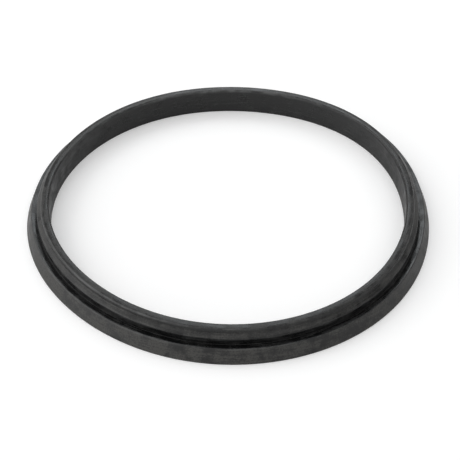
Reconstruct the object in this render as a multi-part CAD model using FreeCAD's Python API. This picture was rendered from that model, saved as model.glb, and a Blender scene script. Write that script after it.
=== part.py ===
import FreeCAD, Part
import math
import os

# A moulded rubber ring for a shower head, one solid, in millimetres.
# +Z is up along the ring's axis. The origin is the middle of the flat base.

# Driving sizes across the section, from the bore outwards
bore_diameter = 79.0
lip_width = 1.85
ledge_width = 0.95
shelf_width = 1.4
side_spread = 1.3

# Driving sizes up the section, from the base
flange_height = 3.3
shelf_dip = 0.3
ledge_rise = 1.3
ledge_slope_rise = 0.65
lip_rise = 1.0

# Roundings of the section's corners, the rest of which the mould leaves sharp
shelf_edge_round = 0.15
ledge_edge_round = 0.3
lip_edge_round = 0.4
bore_edge_round = 0.5
sharp = 0

# Places that follow from the driving sizes
bore_radius = bore_diameter / 2
lip_radius = bore_radius + lip_width
ledge_radius = lip_radius + ledge_width
shelf_radius = ledge_radius + shelf_width
base_radius = shelf_radius + side_spread
shelf_root_height = flange_height - shelf_dip
ledge_height = flange_height + ledge_rise
lip_root_height = ledge_height + ledge_slope_rise
overall_height = lip_root_height + lip_rise


def place(radius, height):
    """Gives a point of the section, at a radius from the axis and a height over the base."""
    return FreeCAD.Vector(radius, 0, height)


def section_corners():
    """Lists the section's corners in order, each with the rounding that it gets."""
    return [
        (place(bore_radius, 0), sharp),
        (place(base_radius, 0), sharp),
        (place(shelf_radius, flange_height), shelf_edge_round),
        (place(ledge_radius, shelf_root_height), sharp),
        (place(ledge_radius, ledge_height), ledge_edge_round),
        (place(lip_radius, lip_root_height), sharp),
        (place(lip_radius, overall_height), lip_edge_round),
        (place(bore_radius, overall_height), bore_edge_round),
    ]


def corner_arc(before, corner, after, radius):
    """Gives the start, middle and end of the arc that rounds one corner, all at it where it is sharp."""
    back = (before - corner).normalize()
    ahead = (after - corner).normalize()
    inward = (back + ahead).normalize()
    half_angle = back.getAngle(ahead) / 2
    reach = radius / math.tan(half_angle)
    depth = radius / math.sin(half_angle) - radius
    return corner + back * reach, corner + inward * depth, corner + ahead * reach


def section_face():
    """Makes the ring's section: straight walls joined by tangent arcs."""
    corners = section_corners()
    points = [point for point, _ in corners]
    befores = points[-1:] + points[:-1]
    afters = points[1:] + points[:1]
    arcs = []
    for before, (corner, radius), after in zip(befores, corners, afters):
        arcs.append(corner_arc(before, corner, after, radius))
    edges = []
    for (start, middle, end), (next_start, _, _) in zip(arcs, arcs[1:] + arcs[:1]):
        if start != end:
            edges.append(Part.Arc(start, middle, end).toShape())
        edges.append(Part.LineSegment(end, next_start).toShape())
    return Part.Face(Part.Wire(edges))


def ring():
    """Turns the section once round the axis."""
    return section_face().revolve(FreeCAD.Vector(0, 0, 0), FreeCAD.Vector(0, 0, 1), 360)


os.makedirs("parts", exist_ok=True)
ring().exportStep("parts/washer.step")
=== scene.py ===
"""Looks of the rubber sealing ring: its section, its moulded finish, the studio and the camera."""

import logging
import math
from collections.abc import Callable
from dataclasses import dataclass, field
from enum import Enum

import bpy
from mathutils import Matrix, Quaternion, Vector


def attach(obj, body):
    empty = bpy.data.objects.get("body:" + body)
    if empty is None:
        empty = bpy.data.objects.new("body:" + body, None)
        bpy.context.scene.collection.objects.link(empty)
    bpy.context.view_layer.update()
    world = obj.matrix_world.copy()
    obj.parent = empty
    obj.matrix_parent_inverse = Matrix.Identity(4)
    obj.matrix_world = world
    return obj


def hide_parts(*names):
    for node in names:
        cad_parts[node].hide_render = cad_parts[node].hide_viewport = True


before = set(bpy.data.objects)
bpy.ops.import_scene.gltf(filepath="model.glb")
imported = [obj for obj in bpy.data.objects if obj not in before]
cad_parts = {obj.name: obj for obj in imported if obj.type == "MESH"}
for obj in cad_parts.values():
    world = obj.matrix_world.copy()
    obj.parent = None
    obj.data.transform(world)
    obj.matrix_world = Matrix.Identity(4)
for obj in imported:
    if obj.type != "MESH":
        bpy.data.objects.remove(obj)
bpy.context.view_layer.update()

logging.basicConfig(level=logging.INFO, format="%(message)s")
log = logging.getLogger("ring")

MM = 0.001
FULL_TURN = 2 * math.pi

Colour = tuple[float, float, float]
WHITE: Colour = (1.0, 1.0, 1.0)


class Corner(Enum):
    """Corners of the ring's section, from the bore's foot outwards and back to the bore's top."""

    BORE_FOOT = "bore_foot"
    BASE_EDGE = "base_edge"
    SHELF_EDGE = "shelf_edge"
    SHELF_ROOT = "shelf_root"
    LEDGE_EDGE = "ledge_edge"
    LIP_ROOT = "lip_root"
    LIP_EDGE = "lip_edge"
    BORE_EDGE = "bore_edge"


class Mark(Enum):
    """Marks kept on the ring's points, which its finish reads."""

    # Edge wear, with a painted highlight on the side where light catches the edge.
    WORN_EDGE = "worn_and_highlit_edge"
    # Pale film on the open faces, none in the shaded recesses: painted shade.
    PALE_FILM = "pale_film_and_shade"
    MATT_FACE = "matt_face"


def deselect_all() -> None:
    """Clears the object selection."""
    bpy.ops.object.select_all(action="DESELECT")


def select_edges(piece: bpy.types.Object, wanted: Callable[[Vector, Vector], bool]) -> int:
    """Selects edges of a mesh in edge mode.

    Args:
        piece: the mesh object, in edit mode.
        wanted: a test that takes an edge's two end points and says whether it is wanted.

    Returns:
        How many edges were selected.
    """
    bpy.ops.mesh.select_mode(type="EDGE")
    bpy.ops.mesh.select_all(action="DESELECT")
    bpy.ops.object.mode_set(mode="OBJECT")
    points = piece.data.vertices
    count = 0
    for edge in piece.data.edges:
        first, second = (points[i].co for i in edge.vertices)
        edge.select = wanted(first, second)
        count += edge.select
    bpy.ops.object.mode_set(mode="EDIT")
    return count


def gap_to_line(here: Vector, start: Vector, end: Vector) -> float:
    """Measures how far a place lies from the straight line between two others.

    Args:
        here: the place.
        start: where the line starts.
        end: where the line ends.

    Returns:
        The gap.
    """
    share = (here - start).dot(end - start) / (end - start).length_squared
    return (here - start.lerp(end, min(1.0, max(0.0, share)))).length


@dataclass(frozen=True)
class Wave:
    """One slow wave in the outline of a soft ring that lies free.

    Attributes:
        lobes: how often it swells in one turn.
        swell: how far it swells out of round.
        direction: where one of its lobes points, in degrees from the ring's right.
    """

    lobes: int
    swell: float
    direction: float

    def at(self, angle: float) -> float:
        """Gives the swell at an angle in radians."""
        return self.swell * math.cos(self.lobes * (angle - math.radians(self.direction)))


@dataclass(frozen=True)
class EdgeWearAndHighlight:
    """How one edge of the ring is paled: dust from wear, and a painted highlight on the side where
    light catches it.

    Attributes:
        level: how pale it is at its palest, from wear and painted highlight together.
        side: the side where it is palest, in degrees from the ring's right; set where light catches
            the edge, it paints a highlight.
        reach: how far the wear and highlight go down from the edge, even for half of that and then
            fading.
    """

    level: float
    side: float
    reach: float

    def at(self, angle: float, gap: float) -> float:
        """Gives the wear and painted highlight at an angle in radians and a gap from the edge."""
        # Palest on the side facing the light: a painted highlight.
        rubbing_and_highlight = max(0.0, math.cos(angle - math.radians(self.side))) ** 2
        return self.level * rubbing_and_highlight * min(1.0, max(0.0, 2.0 * (1.0 - gap / self.reach)))


@dataclass
class SealingRing:
    """The moulded ring, turned from its stepped section.

    Attributes:
        segments: how many straight pieces stand for one turn.
        roundings: for each corner its radius.
        worn_and_highlit: the wear and painted highlight of the rubbed edges.
        film_and_shade: for each corner how much pale film lies on the face that follows it; the
            shelf, ledge wall and bore get none, which paints their shade.
        matt: for each corner how matt the face that follows it is.
        bevel_steps: how many rows make one rounding.
        row_width: half of how wide a row of a flat may be.
        waves: how the soft ring lies out of round.
        flange_splay: how much further the flange goes out, full at the shelf's edge.
        merge_gap: points that lie nearer than this are one.
        loop_gap: an edge that lies nearer than this to a corner is on its loop.
        flat_weight: how much the wide flats count in the smoothing, where 50 is even.
    """

    name: str = "sealing_ring"
    node: str = "washer"
    segments: int = 384
    bore_radius: float = 39.50 * MM
    lip_width: float = 1.85 * MM
    ledge_width: float = 0.95 * MM
    shelf_width: float = 1.40 * MM
    shelf_dip: float = 0.30 * MM
    side_spread: float = 1.30 * MM
    flange_height: float = 3.30 * MM
    ledge_rise: float = 1.30 * MM
    ledge_slope_rise: float = 0.65 * MM
    lip_rise: float = 1.00 * MM
    roundings: dict[Corner, float] = field(default_factory=lambda: {
        Corner.BORE_FOOT: 0.20 * MM,
        Corner.BASE_EDGE: 0.20 * MM,
        Corner.SHELF_EDGE: 0.15 * MM,
        Corner.SHELF_ROOT: 0.06 * MM,
        Corner.LEDGE_EDGE: 0.30 * MM,
        Corner.LIP_ROOT: 0.12 * MM,
        Corner.LIP_EDGE: 0.40 * MM,
        Corner.BORE_EDGE: 0.50 * MM,
    })
    # Edge wear and painted highlights: the lip, ledge and shelf edges are palest at the front left
    # and the bore's edge at the back, where light catches them.
    worn_and_highlit: dict[Corner, EdgeWearAndHighlight] = field(default_factory=lambda: {
        Corner.SHELF_EDGE: EdgeWearAndHighlight(level=0.6, side=233.0, reach=0.16 * MM),
        Corner.LEDGE_EDGE: EdgeWearAndHighlight(level=0.1, side=233.0, reach=0.20 * MM),
        Corner.LIP_EDGE: EdgeWearAndHighlight(level=0.7, side=233.0, reach=0.16 * MM),
        Corner.BORE_EDGE: EdgeWearAndHighlight(level=0.9, side=103.0, reach=0.36 * MM),
    })
    # Pale film on the open faces; none on the shelf, the ledge wall and the bore, which paints the
    # shade in those recesses.
    film_and_shade: dict[Corner, float] = field(default_factory=lambda: {
        Corner.BORE_FOOT: 0.3,
        Corner.BASE_EDGE: 1.0,
        Corner.SHELF_EDGE: 0.0,
        Corner.SHELF_ROOT: 0.0,
        Corner.LEDGE_EDGE: 0.6,
        Corner.LIP_ROOT: 0.3,
        Corner.LIP_EDGE: 0.4,
        Corner.BORE_EDGE: 0.0,
    })
    matt: dict[Corner, float] = field(default_factory=lambda: {
        Corner.BORE_FOOT: 1.0,
        Corner.BASE_EDGE: 1.0,
        Corner.SHELF_EDGE: 0.0,
        Corner.SHELF_ROOT: 0.4,
        Corner.LEDGE_EDGE: 0.4,
        Corner.LIP_ROOT: 0.6,
        Corner.LIP_EDGE: 0.2,
        Corner.BORE_EDGE: 1.0,
    })
    bevel_steps: int = 5
    row_width: float = 0.30 * MM
    waves: tuple[Wave, ...] = (
        Wave(lobes=2, swell=0.12 * MM, direction=135.0),
        Wave(lobes=3, swell=0.42 * MM, direction=43.0),
        Wave(lobes=4, swell=0.13 * MM, direction=37.0),
        Wave(lobes=5, swell=0.09 * MM, direction=40.0),
    )
    flange_splay: Wave = Wave(lobes=1, swell=0.12 * MM, direction=-60.0)
    merge_gap: float = 0.001 * MM
    loop_gap: float = 0.002 * MM
    flat_weight: int = 100

    def corners(self) -> dict[Corner, tuple[float, float]]:
        """Works out the section's corners.

        Returns:
            For each corner its radius from the axis and its height over the base.
        """
        lip = self.bore_radius + self.lip_width
        ledge = lip + self.ledge_width
        shelf = ledge + self.shelf_width
        base = shelf + self.side_spread
        ledge_height = self.flange_height + self.ledge_rise
        root_height = ledge_height + self.ledge_slope_rise
        top = root_height + self.lip_rise
        return {
            Corner.BORE_FOOT: (self.bore_radius, 0.0),
            Corner.BASE_EDGE: (base, 0.0),
            Corner.SHELF_EDGE: (shelf, self.flange_height),
            Corner.SHELF_ROOT: (ledge, self.flange_height - self.shelf_dip),
            Corner.LEDGE_EDGE: (ledge, ledge_height),
            Corner.LIP_ROOT: (lip, root_height),
            Corner.LIP_EDGE: (lip, top),
            Corner.BORE_EDGE: (self.bore_radius, top),
        }

    def half_angle(self, corner: Corner) -> float:
        """Works out half the angle between the two walls that meet at a corner.

        Args:
            corner: the corner.

        Returns:
            The angle in radians.
        """
        places = self.corners()
        order = list(places)
        index = order.index(corner)
        here = Vector(places[corner])
        before = Vector(places[order[index - 1]]) - here
        after = Vector(places[order[(index + 1) % len(order)]]) - here
        return before.angle(after) / 2

    def turn_section(self) -> bpy.types.Object:
        """Draws the section out of a circle at the bore's foot, one extruded loop for each corner.

        Returns:
            The ring's mesh object, in edit mode.
        """
        places = list(self.corners().values())
        deselect_all()
        bpy.ops.mesh.primitive_circle_add(
            vertices=self.segments, radius=places[0][0], fill_type="NOTHING"
        )
        ring = bpy.context.active_object
        ring.name = self.name
        bpy.ops.object.mode_set(mode="EDIT")
        bpy.ops.mesh.select_all(action="SELECT")
        for (radius, height), (next_radius, next_height) in zip(places, places[1:] + places[:1]):
            growth = next_radius / radius
            middle = (0.0, 0.0, height)
            bpy.ops.mesh.extrude_edges_move()
            bpy.ops.transform.resize(value=(growth, growth, 1.0), center_override=middle)
            bpy.ops.transform.translate(value=(0.0, 0.0, next_height - height))
        bpy.ops.mesh.select_all(action="SELECT")
        bpy.ops.mesh.remove_doubles(threshold=self.merge_gap)
        bpy.ops.mesh.normals_make_consistent(inside=False)
        return ring

    def round_corners(self, ring: bpy.types.Object) -> None:
        """Bevels the loop at each corner to its rounding.

        Args:
            ring: the ring's mesh object, in edit mode.
        """
        for corner, place in self.corners().items():
            reach = self.roundings[corner] / math.tan(self.half_angle(corner))

            def on_loop(point: Vector, place: tuple[float, float] = place) -> bool:
                """Says whether a point lies on this corner's loop."""
                gaps = (point.xy.length - place[0], point.z - place[1])
                return all(abs(gap) < self.loop_gap for gap in gaps)

            select_edges(ring, lambda first, second: on_loop(first) and on_loop(second))
            bpy.ops.mesh.bevel(
                offset_type="OFFSET",
                offset=reach,
                segments=self.bevel_steps,
                profile=0.5,
                affect="EDGES",
            )

    def add_rows(self, ring: bpy.types.Object) -> None:
        """Cuts the wide flats into rows, so that the surface can be worked finely.

        Args:
            ring: the ring's mesh object, in edit mode.
        """
        wide = 2 * self.row_width
        sideways = 0.1 * FULL_TURN / self.segments

        def across(first: Vector, second: Vector) -> bool:
            """Says whether an edge runs across a wide flat."""
            drop = Vector((first.xy.length - second.xy.length, first.z - second.z)).length
            return drop > wide and abs(first.xy.angle_signed(second.xy)) < sideways

        while select_edges(ring, across):
            bpy.ops.mesh.subdivide(number_cuts=1)

    def mark_worn_and_highlit_edges(self, ring: bpy.types.Object) -> None:
        """Keeps on each point how worn and highlit it is: most at an edge, on the side where light
        catches it, which paints a highlight.

        Args:
            ring: the ring's mesh object, in object mode.
        """
        places = self.corners()
        edges = []
        for corner, wear_and_highlight in self.worn_and_highlit.items():
            rounding = self.roundings[corner]
            cut_back = rounding / math.sin(self.half_angle(corner)) - rounding
            edges.append((Vector(places[corner]), cut_back, wear_and_highlight))
        kept = ring.data.attributes.new(Mark.WORN_EDGE.value, "FLOAT", "POINT")
        for point, value in zip(ring.data.vertices, kept.data):
            here = Vector((point.co.xy.length, point.co.z))
            angle = math.atan2(point.co.y, point.co.x)
            value.value = max(
                wear_and_highlight.at(angle, (here - spot).length - cut_back) for spot, cut_back, wear_and_highlight in edges
            )

    def mark_faces(self, ring: bpy.types.Object, mark: Mark, levels: dict[Corner, float]) -> None:
        """Keeps on each point the level of its face of the section.

        Args:
            ring: the ring's mesh object, in object mode.
            mark: the mark that the level is kept under.
            levels: for each corner the level of the face that follows it.
        """
        places = {corner: Vector(place) for corner, place in self.corners().items()}
        order = list(places)
        followers = dict(zip(order, order[1:] + order[:1]))
        kept = ring.data.attributes.new(mark.value, "FLOAT", "POINT")
        for point, value in zip(ring.data.vertices, kept.data):
            here = Vector((point.co.xy.length, point.co.z))
            gaps = {
                corner: gap_to_line(here, places[corner], places[followers[corner]])
                for corner in order
            }
            value.value = levels[min(gaps, key=gaps.get)]

    def relax(self, ring: bpy.types.Object) -> None:
        """Lets the soft ring lie slightly out of round, its flange a little more to one side.

        Args:
            ring: the ring's mesh object, in object mode.
        """
        ledge = self.corners()[Corner.LEDGE_EDGE][0]
        for point in ring.data.vertices:
            radius = point.co.xy.length
            angle = math.atan2(point.co.y, point.co.x)
            on_flange = min(1.0, max(0.0, (radius - ledge) / self.shelf_width))
            swell = sum(wave.at(angle) for wave in self.waves)
            swell += self.flange_splay.at(angle) * on_flange
            growth = 1.0 + swell / radius
            point.co.x *= growth
            point.co.y *= growth

    def smooth_faces(self, ring: bpy.types.Object) -> None:
        """Smooths the roundings and keeps the flats between them even.

        Args:
            ring: the ring's mesh object, in object mode.
        """
        bpy.ops.object.shade_smooth()
        evener = ring.modifiers.new("even_flats", "WEIGHTED_NORMAL")
        evener.mode = "FACE_AREA"
        evener.weight = self.flat_weight
        bpy.ops.object.modifier_apply(modifier=evener.name)

    def build(self) -> bpy.types.Object:
        """Models the ring.

        Returns:
            The finished mesh object.
        """
        ring = self.turn_section()
        self.round_corners(ring)
        self.add_rows(ring)
        bpy.ops.mesh.select_all(action="SELECT")
        bpy.ops.mesh.normals_make_consistent(inside=False)
        bpy.ops.object.mode_set(mode="OBJECT")
        self.mark_worn_and_highlit_edges(ring)
        self.mark_faces(ring, Mark.PALE_FILM, self.film_and_shade)
        self.mark_faces(ring, Mark.MATT_FACE, self.matt)
        self.relax(ring)
        self.smooth_faces(ring)
        return ring

    def dress(self, ring: bpy.types.Object, material: bpy.types.Material) -> None:
        """Gives the ring its finish and sets it in the frame.

        Args:
            ring: the ring's mesh object.
            material: the rubber finish.
        """
        ring.data.materials.clear()
        ring.data.materials.append(material)
        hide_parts(self.node)
        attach(ring, "root")


@dataclass(frozen=True)
class Stretch:
    """A stretch of values and the results that it is spread over.

    Attributes:
        start: where the stretch starts.
        end: where the stretch ends.
        first: the result at the start and before it.
        last: the result at the end and past it.
    """

    start: float
    end: float
    first: float
    last: float


class Wiring:
    """Adds and joins the nodes of one material or world."""

    def __init__(self, tree: bpy.types.NodeTree) -> None:
        """Takes the node tree to work in."""
        self.nodes = tree.nodes
        self.links = tree.links

    def feed(self, socket: bpy.types.NodeSocket, value: object) -> None:
        """Joins an output to an input, or sets the input's own value.

        Args:
            socket: the input.
            value: the output that feeds it, or a plain value.
        """
        if isinstance(value, bpy.types.NodeSocket):
            self.links.new(value, socket)
        else:
            socket.default_value = value

    def add(self, kind: str, **inputs: object) -> bpy.types.Node:
        """Adds a node and feeds its inputs.

        Args:
            kind: the node's type.
            inputs: for each input, with underscores for spaces, what feeds it.

        Returns:
            The new node.
        """
        node = self.nodes.new(kind)
        for name, value in inputs.items():
            self.feed(node.inputs[name.replace("_", " ")], value)
        return node

    def sum_up(self, operation: str, first: object, second: object) -> bpy.types.NodeSocket:
        """Works out one sum of two numbers.

        Args:
            operation: the sum, such as ADD or MULTIPLY.
            first: the first number or output.
            second: the second number or output.

        Returns:
            The result.
        """
        node = self.nodes.new("ShaderNodeMath")
        node.operation = operation
        self.feed(node.inputs[0], first)
        self.feed(node.inputs[1], second)
        return node.outputs["Value"]

    def vector_sum(self, operation: str, output: str, *values: object) -> bpy.types.NodeSocket:
        """Works out one sum of vectors.

        Args:
            operation: the sum, such as ADD or LENGTH.
            output: the output that is wanted.
            values: what feeds the inputs that are open, in order.

        Returns:
            The result.
        """
        node = self.nodes.new("ShaderNodeVectorMath")
        node.operation = operation
        open_inputs = [socket for socket in node.inputs if socket.enabled]
        for socket, value in zip(open_inputs, values):
            self.feed(socket, value)
        return node.outputs[output]

    def spread(self, value: object, stretch: Stretch) -> bpy.types.NodeSocket:
        """Spreads a stretch of values over its results, and stops at its ends.

        Args:
            value: the number or output that is spread.
            stretch: the stretch and its results.

        Returns:
            The result.
        """
        node = self.add(
            "ShaderNodeMapRange",
            Value=value,
            From_Min=stretch.start,
            From_Max=stretch.end,
            To_Min=stretch.first,
            To_Max=stretch.last,
        )
        return node.outputs["Result"]

    def blend(self, factor: object, first: object, second: object) -> bpy.types.NodeSocket:
        """Blends two colours.

        Args:
            factor: how much of the second colour shows.
            first: the first colour or output.
            second: the second colour or output.

        Returns:
            The blended colour.
        """
        node = self.nodes.new("ShaderNodeMix")
        node.data_type = "RGBA"
        for name, value in (("Factor_Float", factor), ("A_Color", first), ("B_Color", second)):
            self.feed(next(socket for socket in node.inputs if socket.identifier == name), value)
        return next(socket for socket in node.outputs if socket.identifier == "Result_Color")

    def kept_mark(self, mark: Mark) -> bpy.types.NodeSocket:
        """Reads a mark that the piece's points keep.

        Args:
            mark: the mark.

        Returns:
            The mark's value.
        """
        node = self.nodes.new("ShaderNodeAttribute")
        node.attribute_name = mark.value
        return node.outputs["Fac"]


@dataclass(frozen=True)
class Patterns:
    """The rubber's patterns, each about 0.5 on average.

    Attributes:
        streaks: fine lines that run along the ring.
        speckle: a fine even grain.
        blotches: a wide even grain.
    """

    streaks: bpy.types.NodeSocket
    speckle: bpy.types.NodeSocket
    blotches: bpy.types.NodeSocket


@dataclass(frozen=True)
class MouldedRubber:
    """Black rubber as it leaves the mould: satin, faintly speckled, with fine lines along the ring.

    Attributes:
        colour: the rubber itself.
        bloom: the paler skin that shows in the patterns.
        film_and_shade: the pale film that lies on the open faces; left off the shaded recesses, it
            paints their shade.
        dust_and_highlight: the dusty grey of the worn edges, which also paints their highlights.
        worn_roughness: how much rougher a worn edge is.
        matt_roughness: how much rougher a matt face is.
        relief: how high the patterns stand out of the surface.
        streak_relief: the share of the relief that the streaks have.
        speckle_relief: the share of the relief that the speckle has.
        ring_radius: the radius at which a streak has its length.
    """

    name: str = "moulded_rubber"
    colour: Colour = (0.0022, 0.0023, 0.0025)
    bloom: Colour = (0.0280, 0.0284, 0.0280)
    # Pale film colour; where it is left off, the dark rubber paints the recesses' shade.
    film_and_shade: Colour = (0.0440, 0.0430, 0.0400)
    # Dusty grey of the worn edges; it also paints their highlights.
    dust_and_highlight: Colour = (0.100, 0.102, 0.102)
    ior: float = 1.43
    worn_roughness: float = 0.06
    matt_roughness: float = 0.28
    streak_length: float = 5.0 * MM
    streak_width: float = 0.35 * MM
    streak_detail: float = 2.0
    speckle_size: float = 0.30 * MM
    speckle_detail: float = 3.0
    blotch_size: float = 2.6 * MM
    blotch_detail: float = 4.0
    relief: float = 0.024 * MM
    streak_relief: float = 0.6
    speckle_relief: float = 0.4
    ring_radius: float = 42.0 * MM
    streak_bloom: Stretch = Stretch(start=0.49, end=0.68, first=0.0, last=0.7)
    speckle_bloom: Stretch = Stretch(start=0.50, end=0.66, first=0.0, last=0.5)
    blotch_bloom: Stretch = Stretch(start=0.38, end=0.62, first=0.1, last=1.4)
    streak_film_and_shade: Stretch = Stretch(start=0.38, end=0.62, first=0.4, last=1.1)
    speckle_film_and_shade: Stretch = Stretch(start=0.38, end=0.62, first=0.4, last=1.35)
    blotch_film_and_shade: Stretch = Stretch(start=0.38, end=0.62, first=0.15, last=1.45)
    streak_dust_and_highlight: Stretch = Stretch(start=0.40, end=0.60, first=0.4, last=1.0)
    blotch_dust_and_highlight: Stretch = Stretch(start=0.42, end=0.58, first=0.5, last=1.0)
    blotch_roughness: Stretch = Stretch(start=0.35, end=0.65, first=0.13, last=0.37)
    streak_roughness: Stretch = Stretch(start=0.35, end=0.65, first=-0.09, last=0.09)

    def streaks(self, wiring: Wiring, place: bpy.types.NodeSocket) -> bpy.types.NodeSocket:
        """Makes fine lines that run along the ring.

        Args:
            wiring: the material's wiring.
            place: the object coordinates.

        Returns:
            The lines' strength.
        """
        turns = self.ring_radius / self.streak_length
        parts = wiring.add("ShaderNodeSeparateXYZ", Vector=place).outputs
        flat = wiring.add("ShaderNodeCombineXYZ", X=parts["X"], Y=parts["Y"]).outputs["Vector"]
        radius = wiring.vector_sum("LENGTH", "Value", flat)
        turn = wiring.vector_sum("NORMALIZE", "Vector", flat)
        along = wiring.vector_sum("MULTIPLY", "Vector", turn, (turns, turns, turns))
        out = wiring.sum_up("DIVIDE", radius, self.streak_width)
        across = wiring.add("ShaderNodeCombineXYZ", Z=out).outputs["Vector"]
        noise = wiring.nodes.new("ShaderNodeTexNoise")
        noise.noise_dimensions = "4D"
        wiring.feed(noise.inputs["Vector"], wiring.vector_sum("ADD", "Vector", along, across))
        wiring.feed(noise.inputs["W"], wiring.sum_up("DIVIDE", parts["Z"], self.streak_width))
        wiring.feed(noise.inputs["Scale"], 1.0)
        wiring.feed(noise.inputs["Detail"], self.streak_detail)
        return noise.outputs["Fac"]

    def grain(
        self, wiring: Wiring, place: bpy.types.NodeSocket, size: float, detail: float
    ) -> bpy.types.NodeSocket:
        """Makes an even grain.

        Args:
            wiring: the material's wiring.
            place: the object coordinates.
            size: the size of its largest grains.
            detail: how many finer layers it has.

        Returns:
            The grain's strength.
        """
        noise = wiring.add("ShaderNodeTexNoise", Vector=place, Scale=1.0 / size, Detail=detail)
        return noise.outputs["Fac"]

    def skin(self, wiring: Wiring, patterns: Patterns) -> bpy.types.NodeSocket:
        """Mixes the surface's colour: rubber, its bloom, the pale film with painted shade where it
        is left off, and the worn edges' dust with painted highlights.

        Args:
            wiring: the material's wiring.
            patterns: the rubber's patterns.

        Returns:
            The colour.
        """
        bloom = wiring.sum_up(
            "ADD",
            wiring.spread(patterns.streaks, self.streak_bloom),
            wiring.spread(patterns.speckle, self.speckle_bloom),
        )
        patchy = wiring.spread(patterns.blotches, self.blotch_bloom)
        bloom = wiring.sum_up("MULTIPLY", bloom, patchy)
        # Pale film, kept off the shelf, ledge wall and bore: painted shade in those recesses.
        film_and_shade = wiring.sum_up(
            "MULTIPLY",
            wiring.spread(patterns.speckle, self.speckle_film_and_shade),
            wiring.spread(patterns.streaks, self.streak_film_and_shade),
        )
        film_and_shade = wiring.sum_up("MULTIPLY", film_and_shade, wiring.spread(patterns.blotches, self.blotch_film_and_shade))
        film_and_shade = wiring.sum_up("MULTIPLY", wiring.kept_mark(Mark.PALE_FILM), film_and_shade)
        # Dust on the worn edges, which also paints their highlights on the lit side.
        dust_and_highlight = wiring.spread(patterns.streaks, self.streak_dust_and_highlight)
        dust_and_highlight = wiring.sum_up("MULTIPLY", wiring.kept_mark(Mark.WORN_EDGE), dust_and_highlight)
        dust_and_highlight = wiring.sum_up("MULTIPLY", dust_and_highlight, wiring.spread(patterns.blotches, self.blotch_dust_and_highlight))
        colour = wiring.blend(bloom, (*self.colour, 1.0), (*self.bloom, 1.0))
        colour = wiring.blend(film_and_shade, colour, (*self.film_and_shade, 1.0))
        return wiring.blend(dust_and_highlight, colour, (*self.dust_and_highlight, 1.0))

    def roughness(self, wiring: Wiring, patterns: Patterns) -> bpy.types.NodeSocket:
        """Works out how rough the surface is.

        Args:
            wiring: the material's wiring.
            patterns: the rubber's patterns.

        Returns:
            The roughness.
        """
        worn_and_highlit = wiring.sum_up("MULTIPLY", wiring.kept_mark(Mark.WORN_EDGE), self.worn_roughness)
        matt = wiring.sum_up("MULTIPLY", wiring.kept_mark(Mark.MATT_FACE), self.matt_roughness)
        rough = wiring.sum_up(
            "ADD",
            wiring.spread(patterns.blotches, self.blotch_roughness),
            wiring.spread(patterns.streaks, self.streak_roughness),
        )
        rough = wiring.sum_up("ADD", rough, worn_and_highlit)
        return wiring.sum_up("ADD", rough, matt)

    def bumps(self, wiring: Wiring, patterns: Patterns) -> bpy.types.NodeSocket:
        """Makes the streaks and the speckle stand out of the surface.

        Args:
            wiring: the material's wiring.
            patterns: the rubber's patterns.

        Returns:
            The normal.
        """
        height = wiring.sum_up(
            "ADD",
            wiring.sum_up("MULTIPLY", patterns.streaks, self.streak_relief),
            wiring.sum_up("MULTIPLY", patterns.speckle, self.speckle_relief),
        )
        bump = wiring.add("ShaderNodeBump", Strength=1.0, Distance=self.relief, Height=height)
        return bump.outputs["Normal"]

    def material(self) -> bpy.types.Material:
        """Builds the node material.

        Returns:
            The material.
        """
        material = bpy.data.materials.new(self.name)
        material.use_nodes = True
        wiring = Wiring(material.node_tree)
        shader = wiring.nodes["Principled BSDF"]
        place = wiring.nodes.new("ShaderNodeTexCoord").outputs["Object"]
        patterns = Patterns(
            streaks=self.streaks(wiring, place),
            speckle=self.grain(wiring, place, self.speckle_size, self.speckle_detail),
            blotches=self.grain(wiring, place, self.blotch_size, self.blotch_detail),
        )
        wiring.feed(shader.inputs["Base Color"], self.skin(wiring, patterns))
        wiring.feed(shader.inputs["Roughness"], self.roughness(wiring, patterns))
        wiring.feed(shader.inputs["IOR"], self.ior)
        wiring.feed(shader.inputs["Normal"], self.bumps(wiring, patterns))
        return material


@dataclass(frozen=True)
class PaleFloor:
    """The white table, which shows plain white to the eye but keeps the ring's soft shadow.

    Attributes:
        tone: the table's own grey.
        lift: how much it is lifted where the camera, a reflection or glass shows it.
    """

    name: str = "pale_floor"
    half_width: float = 1.5
    tone: float = 0.93
    lift: float = 0.13

    def material(self) -> bpy.types.Material:
        """Builds the table's matt white.

        Returns:
            The material.
        """
        material = bpy.data.materials.new(self.name)
        material.use_nodes = True
        wiring = Wiring(material.node_tree)
        shader = wiring.nodes["Principled BSDF"]
        wiring.feed(shader.inputs["Base Color"], (self.tone, self.tone, self.tone, 1.0))
        wiring.feed(shader.inputs["Roughness"], 1.0)
        wiring.feed(shader.inputs["Specular IOR Level"], 0.0)
        wiring.feed(shader.inputs["Emission Color"], (*WHITE, 1.0))
        rays = wiring.nodes.new("ShaderNodeLightPath").outputs
        seen = wiring.sum_up("MAXIMUM", rays["Is Camera Ray"], rays["Is Glossy Ray"])
        seen = wiring.sum_up("MAXIMUM", seen, rays["Is Transmission Ray"])
        lift = wiring.sum_up("MULTIPLY", seen, self.lift)
        wiring.feed(shader.inputs["Emission Strength"], lift)
        return material

    def build(self) -> bpy.types.Object:
        """Lays the floor at the ring's base.

        Returns:
            The floor object.
        """
        deselect_all()
        bpy.ops.mesh.primitive_plane_add(size=2 * self.half_width, location=(0.0, 0.0, 0.0))
        floor = bpy.context.active_object
        floor.name = self.name
        floor.data.materials.append(self.material())
        return floor


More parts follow.
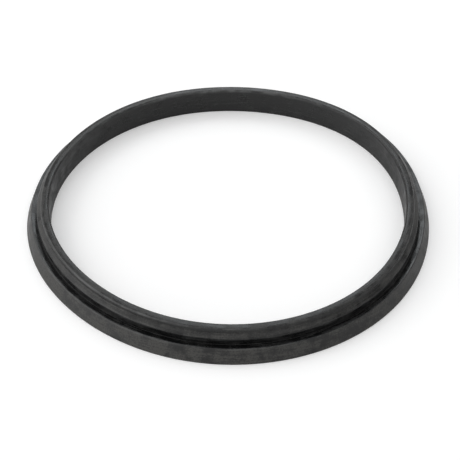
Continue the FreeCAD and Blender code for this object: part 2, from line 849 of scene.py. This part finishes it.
@dataclass(frozen=True)
class SoftBox:
    """A large soft lamp, aimed at the ring.

    Attributes:
        name: what the lamp is called.
        azimuth: where it hangs round the ring, in degrees from the ring's right towards its back.
        elevation: how high it hangs over the floor, in degrees.
        width: its size along the floor.
        height: its size across that.
        radiance: how bright its face is, where 1 is white.
        colour: the colour of its light.
        distance: how far from the ring it hangs.
    """

    name: str
    azimuth: float
    elevation: float
    width: float
    height: float
    radiance: float
    colour: Colour = WHITE
    distance: float = 0.90

    def build(self) -> bpy.types.Object:
        """Hangs the lamp.

        Returns:
            The lamp object.
        """
        azimuth, elevation = math.radians(self.azimuth), math.radians(self.elevation)
        level = math.cos(elevation)
        sideways, backwards = level * math.cos(azimuth), level * math.sin(azimuth)
        place = Vector((sideways, backwards, math.sin(elevation))) * self.distance
        deselect_all()
        bpy.ops.object.light_add(type="AREA", location=place)
        lamp = bpy.context.active_object
        lamp.name = self.name
        lamp.data.shape = "RECTANGLE"
        lamp.data.size = self.width
        lamp.data.size_y = self.height
        lamp.data.energy = self.radiance * math.pi * self.width * self.height
        lamp.data.color = self.colour
        lamp.rotation_euler = (-place).to_track_quat("-Z", "Y").to_euler()
        return lamp


@dataclass(frozen=True)
class Studio:
    """The pale room, lighter on the left, and the soft lamps round the ring.

    Attributes:
        room_tone: how bright the room is, from its left side at -1 to its right side at 1.
        lamps: the soft lamps.
    """

    room_tone: Stretch = Stretch(start=-1.0, end=1.0, first=0.83, last=0.41)
    lamps: tuple[SoftBox, ...] = (
        SoftBox(
            "back_softbox", azimuth=89.0, elevation=44.0, width=0.22, height=0.50, radiance=2.20,
            colour=(0.92, 0.97, 1.0),
        ),
        SoftBox(
            "back_left_softbox", azimuth=146.0, elevation=42.0, width=0.50, height=0.34,
            radiance=1.30,
        ),
        SoftBox(
            "back_right_softbox", azimuth=34.0, elevation=42.0, width=0.50, height=0.34,
            radiance=0.90,
        ),
        SoftBox(
            "left_softbox", azimuth=172.0, elevation=36.0, width=0.80, height=0.55, radiance=0.90,
        ),
        SoftBox(
            "top_softbox", azimuth=265.0, elevation=78.0, width=1.20, height=0.60, radiance=0.68,
        ),
        SoftBox(
            "front_fill", azimuth=205.0, elevation=7.0, width=0.80, height=0.22, radiance=3.20,
        ),
    )

    def build(self) -> None:
        """Sets the world and hangs the lamps."""
        world = bpy.data.worlds.new("pale_room")
        bpy.context.scene.world = world
        world.use_nodes = True
        wiring = Wiring(world.node_tree)
        background = wiring.nodes["Background"]
        wiring.feed(background.inputs["Color"], (*WHITE, 1.0))
        direction = wiring.nodes.new("ShaderNodeTexCoord").outputs["Generated"]
        rightwards = wiring.add("ShaderNodeSeparateXYZ", Vector=direction).outputs["X"]
        wiring.feed(background.inputs["Strength"], wiring.spread(rightwards, self.room_tone))
        for lamp in self.lamps:
            lamp.build()
        bpy.context.scene.view_settings.view_transform = "Standard"


@dataclass(frozen=True)
class PhotoCamera:
    """The camera, placed as the photograph was taken.

    Attributes:
        picture_width: the picture's width in pixels, which its height equals.
        sensor_width: the sensor's width in millimetres.
        focal_pixels: the focal length in the picture's pixels.
        elevation_degrees: how high over the table it stands.
        roll_degrees: how far it is turned clockwise, as seen from behind it.
        distance: how far from the middle of the ring's base it stands.
        base_centre_x: where that middle shows in the picture, in pixels from the left.
        base_centre_y: where that middle shows in the picture, in pixels from the top.
    """

    name: str = "photo_camera"
    picture_width: float = 460.0
    sensor_width: float = 36.0
    focal_pixels: float = 1304.6
    elevation_degrees: float = 41.02
    roll_degrees: float = 0.33
    distance: float = 292.5 * MM
    base_centre_x: float = 229.17
    base_centre_y: float = 215.16

    def build(self) -> bpy.types.Object:
        """Sets the camera up and makes it the scene's own.

        Returns:
            The camera object.
        """
        elevation = math.radians(self.elevation_degrees)
        place = Vector((0.0, -math.cos(elevation), math.sin(elevation))) * self.distance
        deselect_all()
        bpy.ops.object.camera_add(location=place)
        camera = bpy.context.active_object
        camera.name = self.name
        roll = Quaternion((0.0, 0.0, 1.0), -math.radians(self.roll_degrees))
        camera.rotation_euler = ((-place).to_track_quat("-Z", "Y") @ roll).to_euler()
        camera.data.sensor_width = self.sensor_width
        camera.data.lens = self.focal_pixels / self.picture_width * self.sensor_width
        middle = self.picture_width / 2
        camera.data.shift_x = (middle - self.base_centre_x) / self.picture_width
        camera.data.shift_y = (self.base_centre_y - middle) / self.picture_width
        bpy.context.scene.camera = camera
        return camera


def main() -> None:
    """Builds the ring, the studio and the camera, and reports each piece."""
    maker = SealingRing()
    ring = maker.build()
    maker.dress(ring, MouldedRubber().material())
    log.info("%s: %d faces", ring.name, len(ring.data.polygons))
    log.info("floor: %s", PaleFloor().build().name)
    Studio().build()
    log.info("camera: %s", PhotoCamera().build().name)


if __name__ == "__main__":
    main()
